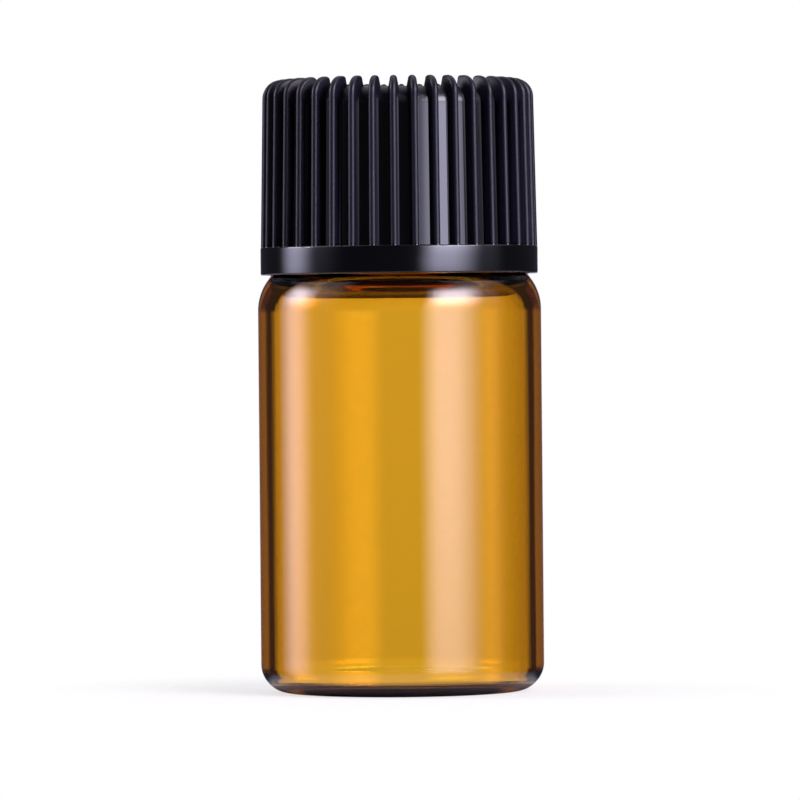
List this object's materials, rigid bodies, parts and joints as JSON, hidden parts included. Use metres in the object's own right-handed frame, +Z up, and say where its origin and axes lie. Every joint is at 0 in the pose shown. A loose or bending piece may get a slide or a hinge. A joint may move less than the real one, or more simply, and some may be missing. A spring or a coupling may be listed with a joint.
{
  "type": "glass sample vial",
  "caption": "Small round amber glass vial with a threaded neck, a drop-dispensing plug pressed into the neck and a black ribbed screw cap with a sealing disc.",
  "frame": {"origin": "middle of the base, on the plane that the vial stands on", "axes": "+Z up the axis from the base to the cap, -Y towards the viewer of the picture, +X to the viewer's right"},
  "size_m": [0.0162, 0.0162, 0.035],
  "materials": {
    "amber_glass": "clear amber glass, polished by the flame, with faint drawing lines",
    "natural_plastic": "milky natural polyethylene, smooth and slightly translucent",
    "white_liner": "soft white foamed liner with a fine matte skin",
    "black_plastic": "moulded black plastic, fine matte grain on the rib crests and smooth gloss on the wall and band"
  },
  "bodies": {
    "root": {"vial": "amber_glass", "orifice_reducer": "natural_plastic"},
    "liner": {"cap_liner": "white_liner"},
    "cap": {"cap": "black_plastic"}
  },
  "joints": [
    {"name": "cap_lift", "type": "slide", "parent": "root", "child": "liner", "axis": [0, 0, 1], "range_m": [0, 0.01058]},
    {"name": "cap_turn", "type": "hinge", "parent": "liner", "child": "cap", "pos_m": [0, 0, 0.03], "axis": [0, 0, 1], "range_deg": [0, 1800]}
  ],
  "couplings": [
    {"joint": "cap_turn", "follows": "cap_lift", "rad_per_m": 2968}
  ]
}
